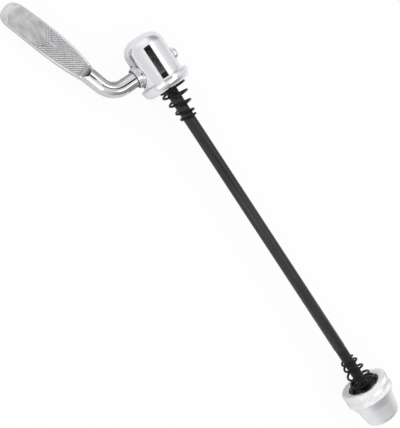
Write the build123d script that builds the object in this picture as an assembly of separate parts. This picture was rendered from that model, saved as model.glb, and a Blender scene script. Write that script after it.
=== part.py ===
from build123d import *
import os
from math import cos, pi, radians, sin, sqrt, tan

# Quick release skewer, in millimetres.
# +X runs along the rod from the cam housing to the nut, +Z is up, and the origin is on the rod axis
# at the housing's clamp face. The skewer lies on its flange, its nut rim and the tip of its lever.

# Clearances
running_clearance = 0.05
seat_clearance = 0.02
floor_radius = 10.5

# Rod
rod_diameter = 5.0
thread_diameter = 4.84
thread_start = 130.5
clamp_gap = 149.5
rod_end_in_nut = 14.5
rod_end_chamfer = 0.5

# Cam
cam_axis_depth = 10.3
cam_lobe_radius = 2.2
cam_throw = 1.1
lobe_play = 0.3
lobe_side_play = 0.15
lever_journal_margin = 0.1
cap_journal_radius = 2.2
cap_stub_radius = 1.5

# Cam follower
follower_wall = 1.8
follower_mouth_depth = 2.0
follower_length = 14.0
follower_chamfer = 0.4
rod_stop_margin = 0.3

# Cam housing
housing_radius = 8.63
housing_height = 23.5
dome_corner_radius = 6.4
dome_corner_length = 5.4
bore_end_clearance = 0.5
flange_thickness = 3.7
flange_groove = 0.15
flare_radius = 1.6
flare_length = 1.1
flare_lip = 0.3
flange_round_length = 2.7
clamp_ring_outer_radius = 8.2
clamp_ring_inner_radius = 6.95
clamp_ring_height = 0.3
collar_spot_margin = 0.1
cap_spot_margin = 0.12

# Lever arm
collar_radius = 4.95
collar_land = 1.25
collar_taper_length = 1.75
collar_face_radius = 4.15
arm_radius = 3.2
arm_reach = 21.2
arm_bend_radius = 8.0
paddle_angle = 17.8
neck_radius = 3.3
neck_start = 11.6

# Lever paddle
paddle_length = 52.8
paddle_half_width = 5.25
paddle_end_half_width = 4.9
paddle_end_bulge = 0.35
paddle_corner_radius = 3.0
paddle_thickness = 2.8
paddle_root = 9.8
paddle_root_half_width = 2.6
paddle_shoulder = 20.0
paddle_shoulder_half_width = 4.6
paddle_full_width_at = 38.0
paddle_bow_radius = 120.0
paddle_bow_apex = 26.0
paddle_bow_rise = 1.0
paddle_bevel = 0.85
tip_ramp_length = 2.4
tip_ramp_drop = 0.9
runout_length = 3.6
runout_tail = 3.0

# Grip ribs on the paddle
rib_height = 0.22
rib_sink = 0.15
rib_width = 0.4
rib_pitch = 0.8
rib_angle = 41.0
rib_edge_margin = 1.05
rib_zone_start = 15.4
chevron_apex = 32.0
chevron_half_angle = 50.0
chevron_width = 0.45
chevron_gap = 0.55
chevron_stem = 2.4

# Shaft cap and washer
cap_radius = 2.6
cap_height = 2.4
cap_dome_height = 1.9
cap_crown = 0.6
washer_radius = 2.8
washer_thickness = 0.4

# Cone springs
spring_wire_radius = 0.4
spring_end_radius = 3.05
spring_small_radius = 3.3
spring_large_radius = 5.85
spring_turns = 4.5
spring_end_turns = 1.0
spring_end_pitch = 1.7
spring_open_pitch = 3.95
spring_foot_pitch = 0.9
spring_steps_per_turn = 12
spring_wire_sides = 5
spring_gap = 0.05
spring_offset = 0.1
cam_spring_lean = 1.0
cam_spring_foot_turns = 0.5
nut_spring_lean = 0.3
nut_spring_foot_turns = 1.0

# Adjusting nut
nut_rim_length = 6.3
knurl_depth = 0.32
knurl_teeth = 72
knurl_band = 2.4
knurl_lead = 0.3
nut_ring_inner_radius = 8.5
nut_ring_bevel = 0.3
nut_shoulder_length = 3.8
nut_shoulder_radius = 8.6
nut_end_radius = 7.3
nut_length = 18.2
nut_end_round = 2.3
nut_exit_radius = 2.9

# Nut insert and lock ring
insert_depth = 0.55
insert_radius = 7.2
insert_flange = 1.6
insert_barrel_radius = 4.2
insert_length = 10.5
lock_ring_length = 2.6

# Derived sizes
rod_radius = rod_diameter / 2
thread_radius = thread_diameter / 2
slot_half_width = cam_lobe_radius + cam_throw + lobe_side_play
slot_half_height = cam_lobe_radius + lobe_play
journal_room_half_height = cap_journal_radius + cam_throw + lobe_play
follower_radius = slot_half_width + follower_wall
bore_radius = follower_radius + running_clearance
lever_journal_radius = cam_lobe_radius + cam_throw + lever_journal_margin
follower_back = -follower_mouth_depth - follower_length
bore_end = follower_back - cam_throw - bore_end_clearance
rod_start = -cam_axis_depth + slot_half_height + rod_stop_margin
rod_end = clamp_gap + rod_end_in_nut
collar_spot_radius = collar_radius + collar_spot_margin
collar_spot = sqrt(housing_radius**2 - collar_spot_radius**2)
cap_spot_radius = washer_radius + cap_spot_margin
cap_spot = sqrt(housing_radius**2 - cap_spot_radius**2)
lobe_far_end = follower_radius + 2 * running_clearance
lobe_near_end = sqrt(bore_radius**2 - (cam_lobe_radius + cam_throw) ** 2) - running_clearance
washer_seat = cap_spot + running_clearance
cap_seat = washer_seat + washer_thickness + seat_clearance
cap_stub_end = cap_seat + cap_height - cap_crown - seat_clearance
collar_seat = collar_spot + running_clearance
collar_face = collar_seat + collar_land + collar_taper_length
bend_turn = 90.0 - paddle_angle
bend_tangent = arm_bend_radius * tan(radians(bend_turn / 2))
bend_start = arm_reach - bend_tangent
paddle_half = paddle_thickness / 2
reach_over = 2 * max(paddle_half_width, paddle_thickness)


def closed_profile(*points):
    """Return the face inside a closed polyline."""
    return make_face(Polyline(*points, close=True))


def turned(profile, axis=Axis.X):
    """Return the solid that a profile makes when it turns about an axis."""
    return revolve(profile, axis=axis, revolution_arc=360)


def tube(x_start, x_end, outer, inner):
    """Return a plain ring along the rod axis."""
    return turned(closed_profile((x_start, inner), (x_start, outer), (x_end, outer), (x_end, inner)))


# The paddle's own plane: x along the paddle, y across it, z out of its face
paddle_plane = Plane(
    origin=(0, arm_reach, 0),
    x_dir=(cos(radians(paddle_angle)), sin(radians(paddle_angle)), 0),
    z_dir=(0, 0, 1),
)


def bow_height(x):
    """Return the height of the paddle's middle surface at a distance along it."""
    sag = paddle_bow_radius - sqrt(paddle_bow_radius**2 - (x - paddle_bow_apex) ** 2)
    return paddle_bow_rise - sag


def bowed_layer(low, high):
    """Return a bowed slab between two heights over the paddle's middle surface."""
    centre = paddle_bow_rise - paddle_bow_radius
    start = paddle_root - runout_length
    end = paddle_length + reach_over

    def arc(height):
        radius = paddle_bow_radius + height
        places = [start, paddle_bow_apex, end]
        return [(x, centre + sqrt(radius**2 - (x - paddle_bow_apex) ** 2)) for x in places]

    below, above = arc(low), arc(high)
    edges = [
        ThreePointArc(*below),
        Line(below[2], above[2]),
        ThreePointArc(*above),
        Line(above[0], below[0]),
    ]
    profile = Plane.XZ * make_face(edges)
    return extrude(profile, amount=reach_over, both=True)


def paddle_outline(inset=0.0):
    """Return the paddle's plan, from inside the neck to the rounded end, with its sides moved in."""
    sides = []
    for side in (1, -1):
        flank = Spline(
            (paddle_root, side * (paddle_root_half_width - inset)),
            (paddle_shoulder, side * (paddle_shoulder_half_width - inset)),
            (paddle_full_width_at, side * (paddle_half_width - inset)),
            (paddle_length - paddle_end_bulge, side * (paddle_end_half_width - inset)),
        )
        sides.append(flank)
    end = ThreePointArc(sides[0] @ 1, (paddle_length, 0), sides[1] @ 1)
    outline = make_face(sides + [end, Line(sides[0] @ 0, sides[1] @ 0)])
    corners = outline.vertices().sort_by(Axis.X)[-2:]
    return fillet(corners, paddle_corner_radius)


def grip_pattern():
    """Return the plan of the paddle's diagonal ribs and of the chevron that ends them."""
    zone = paddle_outline(rib_edge_margin)
    slope = paddle_half_width / tan(radians(chevron_half_angle))
    bands = chevron_width + chevron_gap
    field_end = chevron_apex - bands - chevron_gap
    field = closed_profile(
        (rib_zone_start, -paddle_half_width),
        (field_end + slope, -paddle_half_width),
        (field_end, 0),
        (field_end + slope, paddle_half_width),
        (rib_zone_start, paddle_half_width),
    )
    span = chevron_apex + slope - rib_zone_start
    count = int(span / rib_pitch) + 1
    middle = Pos((rib_zone_start + chevron_apex) / 2, 0) * Rot(0, 0, rib_angle)
    stripes = middle * GridLocations(0, rib_pitch, 1, count)
    ribs = Sketch() + [place * Rectangle(2 * span, rib_width) for place in stripes]
    chevrons = Sketch()
    for row in range(2):
        apex = chevron_apex - row * bands
        chevrons += closed_profile(
            (apex, 0),
            (apex + slope, paddle_half_width),
            (apex + slope + chevron_width, paddle_half_width),
            (apex + chevron_width, 0),
            (apex + slope + chevron_width, -paddle_half_width),
            (apex + slope, -paddle_half_width),
        )
    stem_middle = chevron_apex - bands + (chevron_width - chevron_stem) / 2
    stem = Pos(stem_middle, 0) * Rectangle(chevron_stem + chevron_width, chevron_width)
    return zone & ((ribs & field) + chevrons + stem)


def paddle_blade():
    """Return the bowed, bevelled blade of the paddle with its ramped tip, without its ribs."""
    blade = extrude(paddle_outline(), amount=reach_over, both=True) & bowed_layer(-paddle_half, paddle_half)
    rims = blade.edges().filter_by(lambda e: abs((e % 0.5).Z) < 0.5)
    rims = rims.filter_by(lambda e: (e @ 0.5).X > paddle_root + running_clearance)
    blade = chamfer(rims, paddle_bevel, paddle_bevel * 0.8)
    start = paddle_length - tip_ramp_length
    for side in (1, -1):
        top = bow_height(start) + side * paddle_half
        foot = bow_height(paddle_length) + side * (paddle_half - tip_ramp_drop)
        rise = top - foot
        ramp = closed_profile(
            (start - tip_ramp_length, top + rise),
            (paddle_length + tip_ramp_length, foot - rise),
            (paddle_length + tip_ramp_length, foot + side * reach_over),
            (start - tip_ramp_length, foot + side * reach_over),
        )
        blade -= extrude(Plane.XZ * ramp, amount=reach_over, both=True)
    return blade


def neck_bar():
    """Return the round bar that runs from the bend into the paddle, cut back by the two run-outs."""
    bar_end = neck_start + runout_length + runout_tail
    bar = turned(
        closed_profile(
            (bend_tangent, 0),
            (bend_tangent, arm_radius),
            (neck_start - runout_length, neck_radius),
            (bar_end, neck_radius),
            (bar_end, 0),
        )
    )
    foot = neck_start + runout_length
    for side in (1, -1):
        wedge = closed_profile(
            (neck_start, side * neck_radius),
            (foot, bow_height(foot) + side * paddle_half),
            (bar_end + runout_tail, bow_height(bar_end) + side * (paddle_half - rib_sink)),
            (bar_end + runout_tail, side * reach_over),
            (neck_start, side * reach_over),
        )
        bar -= extrude(Plane.XZ * wedge, amount=reach_over, both=True)
    return bar


def cam_shaft():
    """Return the collar, the journals and the eccentric lobe, along the cam axis."""
    shaft = turned(
        closed_profile(
            (0, -cap_stub_end),
            (cap_stub_radius, -cap_stub_end),
            (cap_stub_radius, -washer_seat),
            (cap_journal_radius, -washer_seat),
            (cap_journal_radius, -lobe_near_end),
            (0, -lobe_near_end),
        ),
        Axis.Y,
    )
    collar = turned(
        closed_profile(
            (0, lobe_far_end),
            (lever_journal_radius, lobe_far_end),
            (lever_journal_radius, collar_seat),
            (collar_radius, collar_seat),
            (collar_radius, collar_seat + collar_land),
            (collar_face_radius, collar_face),
            (arm_radius, collar_face),
            (arm_radius, bend_start),
            (0, bend_start),
        ),
        Axis.Y,
    )
    lobe_plane = Plane(origin=(0, -lobe_near_end, cam_throw), z_dir=(0, 1, 0))
    lobe = extrude(lobe_plane * Circle(cam_lobe_radius), amount=lobe_near_end + lobe_far_end)
    return shaft + lobe + collar


def arm_bend():
    """Return the bend between the straight arm and the neck."""
    section = Plane(origin=(0, bend_start, 0), z_dir=(0, 1, 0)) * Circle(arm_radius)
    centre = Axis((arm_bend_radius, bend_start, 0), (0, 0, -1))
    return revolve(section, axis=centre, revolution_arc=bend_turn)


def flat_lever():
    """Return the whole lever forging in its own plane: x outwards, y along the cam axis."""
    pattern = extrude(grip_pattern(), amount=reach_over, both=True)
    ribs = pattern & bowed_layer(paddle_half - rib_sink, paddle_half + rib_height)
    shank = cam_shaft() + arm_bend() + paddle_plane * neck_bar()
    return shank + paddle_plane * paddle_blade() + paddle_plane * ribs


def lever_plane(droop):
    """Return the plane of the lever when its outer end hangs down by an angle."""
    tilt = radians(droop)
    return Plane(origin=(-cam_axis_depth, 0, 0), x_dir=(-1, 0, 0), z_dir=(0, -sin(tilt), cos(tilt)))


def resting_droop(shape):
    """Return the angle at which the lever's lowest point comes down to the floor."""
    low, high = 0.0, 45.0
    for _ in range(14):
        middle = (low + high) / 2
        if (lever_plane(middle) * shape).bounding_box().min.Z > -floor_radius:
            low = middle
        else:
            high = middle
    return low


flat = flat_lever()
droop = resting_droop(flat)
cam_plane = lever_plane(droop)
lever = cam_plane * flat


def across_housing(radius, start, end):
    """Return a round cutter along the cam axis, from one distance off the rod axis to another."""
    section = Plane(origin=(0, start, 0), z_dir=(0, 1, 0)) * Circle(radius)
    return cam_plane * extrude(section, amount=end - start)


def make_cam_housing():
    """Return the bell with its flange, bore, spot faces and cross holes."""
    shoulder = -housing_height + dome_corner_length
    crown = housing_radius - dome_corner_radius
    lip = -flange_thickness
    flare = housing_radius + flare_radius
    inner = clamp_ring_inner_radius
    round_start = -flange_round_length
    flare_start = lip - flare_lip - flare_length
    edges = [
        Line((-housing_height, 0), (-housing_height, crown)),
        EllipticalCenterArc((shoulder, crown), dome_corner_length, dome_corner_radius, start_angle=90, arc_size=90),
        Line((shoulder, housing_radius), (flare_start, housing_radius)),
        EllipticalCenterArc((flare_start, flare), flare_length, flare_radius, start_angle=270, arc_size=90),
        Line((lip - flare_lip, flare), (lip, flare)),
        Line((lip, flare), (lip, floor_radius - flange_groove)),
        Line((lip, floor_radius - flange_groove), (lip + flange_groove, floor_radius)),
        Line((lip + flange_groove, floor_radius), (round_start, floor_radius)),
        EllipticalCenterArc(
            (round_start, clamp_ring_outer_radius),
            flange_round_length,
            floor_radius - clamp_ring_outer_radius,
            arc_size=90,
        ),
        Line((0, clamp_ring_outer_radius), (0, inner)),
        Line((0, inner), (-clamp_ring_height, inner - clamp_ring_height)),
        Line((-clamp_ring_height, inner - clamp_ring_height), (-clamp_ring_height, bore_radius)),
        Line((-clamp_ring_height, bore_radius), (bore_end, bore_radius)),
        Line((bore_end, bore_radius), (bore_end - bore_radius / 3, 0)),
        Line((bore_end - bore_radius / 3, 0), (-housing_height, 0)),
    ]
    housing = turned(make_face(edges))
    housing -= across_housing(lever_journal_radius + running_clearance, 0, housing_radius)
    housing -= across_housing(collar_spot_radius, collar_spot, 2 * housing_radius)
    housing -= across_housing(cap_journal_radius + running_clearance, -housing_radius, 0)
    housing -= across_housing(cap_spot_radius, -2 * housing_radius, -cap_spot)
    return housing


def make_cam_follower():
    """Return the barrel that the lobe moves, with its cross slot, its hole for the rod and room for a journal."""
    barrel = turned(
        closed_profile(
            (follower_back, 0),
            (follower_back, follower_radius - follower_chamfer),
            (follower_back + follower_chamfer, follower_radius),
            (-follower_mouth_depth - follower_chamfer, follower_radius),
            (-follower_mouth_depth, follower_radius - follower_chamfer),
            (-follower_mouth_depth, rod_radius + seat_clearance),
            (-cam_axis_depth, rod_radius + seat_clearance),
            (-cam_axis_depth, 0),
        )
    )
    slot_plane = Plane(origin=(0, -follower_radius, 0), x_dir=(1, 0, 0), z_dir=(0, 1, 0))
    outline = slot_plane * RectangleRounded(
        2 * slot_half_height, 2 * slot_half_width, slot_half_height - lobe_side_play
    )
    barrel -= cam_plane * extrude(outline, amount=2 * follower_radius)
    journal_room = slot_plane * Rectangle(2 * journal_room_half_height, 2 * slot_half_width)
    return barrel - cam_plane * extrude(journal_room, amount=follower_radius - lobe_near_end + running_clearance)


def make_skewer_rod():
    """Return the rod with its plain shank and its threaded end, drawn at the thread's crest."""
    return turned(
        closed_profile(
            (rod_start, 0),
            (rod_start, rod_radius - rod_end_chamfer),
            (rod_start + rod_end_chamfer, rod_radius),
            (thread_start, rod_radius),
            (thread_start + rod_radius - thread_radius, thread_radius),
            (rod_end - rod_end_chamfer, thread_radius),
            (rod_end, thread_radius - rod_end_chamfer),
            (rod_end, 0),
        )
    )


def make_shaft_cap():
    """Return the domed cap that holds the end of the cam shaft."""
    wall = cap_seat + cap_height - cap_dome_height
    top = cap_seat + cap_height
    bore = cap_stub_radius + seat_clearance
    dome_radius = (cap_radius**2 + cap_dome_height**2) / (2 * cap_dome_height)
    shoulder = cap_radius * cos(pi / 4)
    dome_side = top - dome_radius + sqrt(dome_radius**2 - shoulder**2)
    dome = ThreePointArc((cap_radius, wall), (shoulder, dome_side), (0, top))
    edges = [
        Polyline((0, top), (0, cap_stub_end + seat_clearance), (bore, cap_stub_end + seat_clearance)),
        Polyline((bore, cap_stub_end + seat_clearance), (bore, cap_seat), (cap_radius, cap_seat)),
        Line((cap_radius, cap_seat), (cap_radius, wall)),
        dome,
    ]
    return cam_plane * (Rot(180, 0, 0) * turned(make_face(edges), Axis.Y))


def make_shaft_washer():
    """Return the thin washer under the shaft cap."""
    ring = closed_profile(
        (cap_stub_radius + seat_clearance, -washer_seat - washer_thickness),
        (cap_stub_radius + seat_clearance, -washer_seat),
        (washer_radius, -washer_seat),
        (washer_radius, -washer_seat - washer_thickness),
    )
    return cam_plane * turned(ring, Axis.Y)


def spring_height(turn, foot_turns):
    """Return the height of a spring's centre line, a number of turns from its small end."""
    foot_start = spring_turns - foot_turns
    end_part = min(turn, spring_end_turns)
    open_part = min(max(turn - spring_end_turns, 0), foot_start - spring_end_turns)
    foot_part = max(turn - foot_start, 0)
    return end_part * spring_end_pitch + open_part * spring_open_pitch + foot_part * spring_foot_pitch


def spring_radius(turn):
    """Return the radius of a spring's centre line, a number of turns from its small end."""
    end_share = min(turn / spring_end_turns, 1)
    cone_share = max(turn - spring_end_turns, 0) / (spring_turns - spring_end_turns)
    radius = spring_end_radius + (spring_small_radius - spring_end_radius) * end_share
    return radius + (spring_large_radius - spring_small_radius) * cone_share


def make_spring(foot_turns, lean):
    """Return a left-hand cone spring along +Z, small end first, that leans towards +X."""
    steps = int(spring_turns * spring_steps_per_turn)
    length = spring_height(spring_turns, foot_turns)
    points = []
    for step in range(steps + 1):
        turn = spring_turns * step / steps
        height = spring_height(turn, foot_turns)
        radius = spring_radius(turn)
        shift = spring_offset + (lean - spring_offset) * height / length
        points.append((radius * cos(2 * pi * turn) + shift, -radius * sin(2 * pi * turn), height))
    line = Spline(*points)
    section = Plane(origin=line @ 0, z_dir=line % 0) * RegularPolygon(spring_wire_radius, spring_wire_sides)
    return sweep(section, path=line, is_frenet=True)


def make_cam_side_spring():
    """Return the spring that lies against the housing, wide end first."""
    small_end = spring_gap + spring_wire_radius + spring_height(spring_turns, cam_spring_foot_turns)
    place = Plane(origin=(small_end, 0, 0), x_dir=(0, 1, 0), z_dir=(-1, 0, 0))
    return place * make_spring(cam_spring_foot_turns, cam_spring_lean)


def make_nut_side_spring():
    """Return the spring whose wide coils lie in the mouth of the nut."""
    large_end = clamp_gap + insert_depth - spring_gap - spring_wire_radius
    small_end = large_end - spring_height(spring_turns, nut_spring_foot_turns)
    place = Plane(origin=(small_end, 0, 0), x_dir=(0, 1, 0), z_dir=(1, 0, 0))
    return place * make_spring(nut_spring_foot_turns, nut_spring_lean)


def knurled_band(x_start):
    """Return one band of straight knurling around the nut's rim."""
    points = []
    for tooth in range(knurl_teeth):
        for half, radius in ((0, floor_radius), (0.5, floor_radius - knurl_depth)):
            turn = 2 * pi * (tooth + half) / knurl_teeth
            points.append((radius * cos(turn), radius * sin(turn)))
    plane = Plane(origin=(x_start, 0, 0), z_dir=(1, 0, 0))
    hollow = Circle(nut_ring_inner_radius)
    return extrude(plane * (closed_profile(*points) - hollow), amount=knurl_band)


def make_adjusting_nut():
    """Return the nut body: knurled rim, shoulder, cone, mouth for the insert and bore."""
    core = floor_radius - knurl_depth
    rim_end = clamp_gap + nut_rim_length
    shoulder = rim_end + nut_shoulder_length
    end = clamp_gap + nut_length
    recess = insert_radius + seat_clearance
    barrel = insert_barrel_radius + seat_clearance
    floor = clamp_gap + insert_depth + insert_flange + seat_clearance
    ring_seat = clamp_gap + insert_depth + insert_length + lock_ring_length + 2 * seat_clearance
    fall = (nut_end_radius - nut_shoulder_radius) / (end - shoulder)
    round_start = end - nut_end_round
    round_radius = nut_shoulder_radius + fall * (round_start - shoulder)
    round_end = round_radius - nut_end_round
    outside = Polyline(
        (end, round_end),
        (end, nut_exit_radius),
        (ring_seat, nut_exit_radius),
        (ring_seat, barrel),
        (floor, barrel),
        (floor, recess),
        (clamp_gap + insert_depth, recess),
        (clamp_gap, nut_ring_inner_radius),
        (clamp_gap, core - nut_ring_bevel),
        (clamp_gap + nut_ring_bevel, core),
        (rim_end, core),
        (shoulder, nut_shoulder_radius),
        (round_start, round_radius),
    )
    rounding = Spline((round_start, round_radius), (end, round_end), tangents=[(1, fall), (0, -1)])
    body = turned(make_face([outside, rounding]))
    second = rim_end - knurl_band
    return body + knurled_band(clamp_gap + knurl_lead) + knurled_band(second)


def make_nut_insert():
    """Return the black insert: a flange in the nut's mouth and a threaded barrel behind it."""
    face = clamp_gap + insert_depth
    bore = thread_radius + running_clearance
    return turned(
        closed_profile(
            (face, bore),
            (face, insert_radius),
            (face + insert_flange, insert_radius),
            (face + insert_flange, insert_barrel_radius),
            (face + insert_length, insert_barrel_radius),
            (face + insert_length, bore),
        )
    )


def make_lock_ring():
    """Return the nylon ring behind the insert."""
    start = clamp_gap + insert_depth + insert_length + seat_clearance
    return tube(start, start + lock_ring_length, insert_barrel_radius, thread_radius + running_clearance)


nodes = {
    "cam_housing": make_cam_housing(),
    "lever": lever,
    "cam_follower": make_cam_follower(),
    "skewer_rod": make_skewer_rod(),
    "shaft_washer": make_shaft_washer(),
    "shaft_cap": make_shaft_cap(),
    "cam_side_spring": make_cam_side_spring(),
    "nut_side_spring": make_nut_side_spring(),
    "adjusting_nut": make_adjusting_nut(),
    "nut_insert": make_nut_insert(),
    "lock_ring": make_lock_ring(),
}
os.makedirs("parts", exist_ok=True)
for name, solid in nodes.items():
    export_step(solid, f"parts/{name}.step")
print("droop", round(droop, 3))
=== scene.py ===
import logging
from abc import ABC, abstractmethod
from dataclasses import dataclass
from enum import Enum
from math import atan2, cos, degrees, hypot, pi, radians, sin, sqrt, tan
from typing import Sequence

import bmesh
import bpy
from mathutils import Matrix, Vector


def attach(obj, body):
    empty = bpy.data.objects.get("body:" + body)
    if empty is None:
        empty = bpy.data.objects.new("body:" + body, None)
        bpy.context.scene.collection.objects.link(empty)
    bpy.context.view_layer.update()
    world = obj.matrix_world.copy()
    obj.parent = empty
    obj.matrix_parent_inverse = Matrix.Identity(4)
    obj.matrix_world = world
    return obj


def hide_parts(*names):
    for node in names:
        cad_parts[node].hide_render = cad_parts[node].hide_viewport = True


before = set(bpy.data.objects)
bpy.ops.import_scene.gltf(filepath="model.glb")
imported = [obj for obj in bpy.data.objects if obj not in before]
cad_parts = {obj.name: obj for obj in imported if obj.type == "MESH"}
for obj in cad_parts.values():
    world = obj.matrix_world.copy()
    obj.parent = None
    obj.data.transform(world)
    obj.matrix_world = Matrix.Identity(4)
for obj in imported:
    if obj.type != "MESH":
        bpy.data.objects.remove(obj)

# One millimetre in the frame's metres, and the lengths in millimetres at which points and edges merge.
MM = 0.001
WELD = 1e-4
SLIVER = 1e-5
UNMOVED = Matrix.Identity(4)
WHITE = (1.0, 1.0, 1.0, 1.0)
Point = tuple[float, float]
Colour = tuple[float, float, float]
Socket = bpy.types.NodeSocket
Feed = Socket | float | Sequence[float]
log = logging.getLogger("skewer")


def even(number: float) -> Colour:
    """Give the same number for all three directions or colour channels."""
    return (number, number, number)


class Carrier(Enum):
    """The bodies of the frame that the pieces ride on."""

    HOUSING = "housing_body"
    LEVER = "lever_body"
    ROD = "rod_body"
    CAM_SPRING = "cam_spring_body"
    NUT_SPRING = "nut_spring_body"
    NUT = "nut_body"


class Slot(Enum):
    """The record's material slots, listed with each piece but not given to it."""

    CHROMED_STEEL = "chromed_steel"
    CHROMED_LEVER = "chromed_lever"
    BLACK_ROD = "black_rod"
    BLACK_SPRING = "black_spring"
    SATIN_ALLOY = "satin_alloy"
    BLACK_INSERT = "black_insert"


class Plating(Enum):
    """The lever's material slots, by polish, and by painted shade and painted highlight."""

    ARM = 0
    PADDLE = 1
    RIM = 2
    RIBS_HIGHLIGHT = 3
    GROOVES_DIRT_AND_SHADE = 4
    HOLLOW_SHADE = 5
    SEAM_SHADE = 6
    INNER_SHADE = 7


class Nodes:
    """A node tree, with short calls for adding and feeding nodes."""

    def __init__(self, tree: bpy.types.NodeTree) -> None:
        """Take the tree to add to."""
        self.tree = tree

    def put(self, socket: Socket, value: Feed) -> None:
        """Link a socket to an input, or set a plain value on it.

        Args:
            socket: The input.
            value: The socket to link or the value to set.
        """
        if isinstance(value, Socket):
            self.tree.links.new(value, socket)
        else:
            socket.default_value = value

    def feed(self, node: bpy.types.Node, **named: Feed) -> None:
        """Feed a node's inputs by name, with an underscore for each space in a name."""
        for name, value in named.items():
            self.put(node.inputs[name.replace("_", " ")], value)

    def add(self, kind: str, result: str, *feeds: Feed, mode: str = "", **named: Feed) -> Socket:
        """Add a node and feed its inputs.

        Args:
            kind: The node's type, without the prefix of all shader nodes.
            result: The name of the output to give.
            feeds: What goes into the first inputs, in their order.
            mode: The operation of a node that has several.
            named: What goes into other inputs, by name.

        Returns:
            The output.
        """
        node = self.tree.nodes.new("ShaderNode" + kind)
        if mode:
            node.operation = mode
        for socket, value in zip(node.inputs, feeds):
            self.put(socket, value)
        self.feed(node, **named)
        return node.outputs[result]

    def product(self, first: Feed, second: Feed) -> Socket:
        """Give two values multiplied."""
        return self.add("Math", "Value", first, second, mode="MULTIPLY")

    def larger(self, first: Feed, second: Feed) -> Socket:
        """Give the larger of two values."""
        return self.add("Math", "Value", first, second, mode="MAXIMUM")

    def either(self, share: Feed, first: Socket, second: Socket) -> Socket:
        """Give two shaders mixed, by the second one's share."""
        return self.add("MixShader", "Shader", share, first, second)

    def rays(self) -> tuple[Socket, Socket]:
        """Tell the kinds of ray apart.

        Returns:
            Whether the camera sees the point, directly or through clear material, and whether metal does.
        """
        path = self.add("LightPath", "Is Camera Ray").node.outputs
        return self.larger(path["Is Camera Ray"], path["Is Transmission Ray"]), path["Is Glossy Ray"]


class NodeSheet(Nodes):
    """The node tree of one material, with short calls for the patterns that the finishes use."""

    middle: Point = (0.3, 0.7)

    def __init__(self, name: str) -> None:
        """Start an empty tree with a Principled shader.

        Args:
            name: The material's name.
        """
        self.material = bpy.data.materials.new(name)
        self.material.use_nodes = True
        super().__init__(self.material.node_tree)
        self.shader = self.tree.nodes["Principled BSDF"]
        self.place = self.add("TexCoord", "Object")

    def noise(self, stretch: Colour, detail: float = 3.0, rough: float = 0.55) -> Socket:
        """Add a noise pattern on the piece's own coordinates.

        Args:
            stretch: Waves per metre along x, y and z.
            detail: Number of finer layers.
            rough: Strength of the finer layers.

        Returns:
            The noise value, about 0 to 1.
        """
        waves = self.add("Mapping", "Vector", Vector=self.place, Scale=stretch)
        return self.add("TexNoise", "Fac", Vector=waves, Scale=1.0, Detail=detail, Roughness=rough)

    def mixed(self, first: Socket, second: Socket, share: float) -> Socket:
        """Give two patterns averaged, by the second one's share."""
        return self.add("Mix", "Result", Factor=share, A=first, B=second)

    def spread(self, value: Socket, low: float, high: float) -> Socket:
        """Give the middle of a pattern spread between two numbers."""
        return self.add("MapRange", "Result", value, *self.middle, low, high)

    def tinted(self, value: Socket, dark: Colour, light: Colour) -> Socket:
        """Turn a pattern into a colour between two shades.

        Args:
            value: The pattern.
            dark: The shade where the pattern is low.
            light: The shade where the pattern is high.

        Returns:
            The colour.
        """
        colour = self.add("ValToRGB", "Color", value)
        for stop, position, shade in zip(colour.node.color_ramp.elements, self.middle, (dark, light)):
            stop.position = position
            stop.color = (*shade, 1.0)
        return colour

    def bump(self, value: Socket, strength: float, height: float) -> None:
        """Raise a pattern on the shader, by the share of the bump that shows and its height in metres."""
        raised = self.add("Bump", "Normal", Strength=strength, Distance=height, Height=value)
        self.surface(Normal=raised)

    def surface(self, **named: Feed) -> None:
        """Feed the shader's inputs by name, with an underscore for each space in a name."""
        self.feed(self.shader, **named)

    def show(self, shader: Socket) -> None:
        """Show a shader in place of the plain one."""
        self.feed(self.tree.nodes["Material Output"], Surface=shader)


@dataclass(frozen=True)
class Finish(ABC):
    """A surface finish that makes its own material once."""

    name: str

    def material(self) -> bpy.types.Material:
        """Give the finish's material, made on its first use.

        Returns:
            The material.
        """
        made = bpy.data.materials.get(self.name)
        if made is not None:
            return made
        sheet = NodeSheet(self.name)
        self.dress(sheet)
        return sheet.material

    @abstractmethod
    def dress(self, sheet: NodeSheet) -> None:
        """Fill the material's node tree.

        Args:
            sheet: The tree to fill.
        """


@dataclass(frozen=True)
class BrightPlate(Finish):
    """Bright chrome plate with a faint waviness and a few dull specks."""

    dark: Colour = (0.79, 0.79, 0.815)
    light: Colour = (0.84, 0.84, 0.865)
    polish: Point = (0.05, 0.10)
    wave: float = 0.012
    wave_height: float = 0.0004
    wave_count: float = 240.0
    haze_count: float = 160.0
    speck_count: float = 1400.0
    speck_share: float = 0.35

    def dress(self, sheet: NodeSheet) -> None:
        """Fill the tree with plate colour, polish marks and waviness.

        Args:
            sheet: The tree to fill.
        """
        haze = sheet.noise(even(self.haze_count), detail=4.0)
        specks = sheet.noise(even(self.speck_count), detail=2.0)
        marks = sheet.mixed(haze, specks, self.speck_share)
        sheet.surface(Base_Color=sheet.tinted(haze, self.dark, self.light), Metallic=1.0)
        sheet.surface(Roughness=sheet.spread(marks, *self.polish))
        sheet.bump(sheet.noise(even(self.wave_count), detail=1.0), self.wave, self.wave_height)


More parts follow.
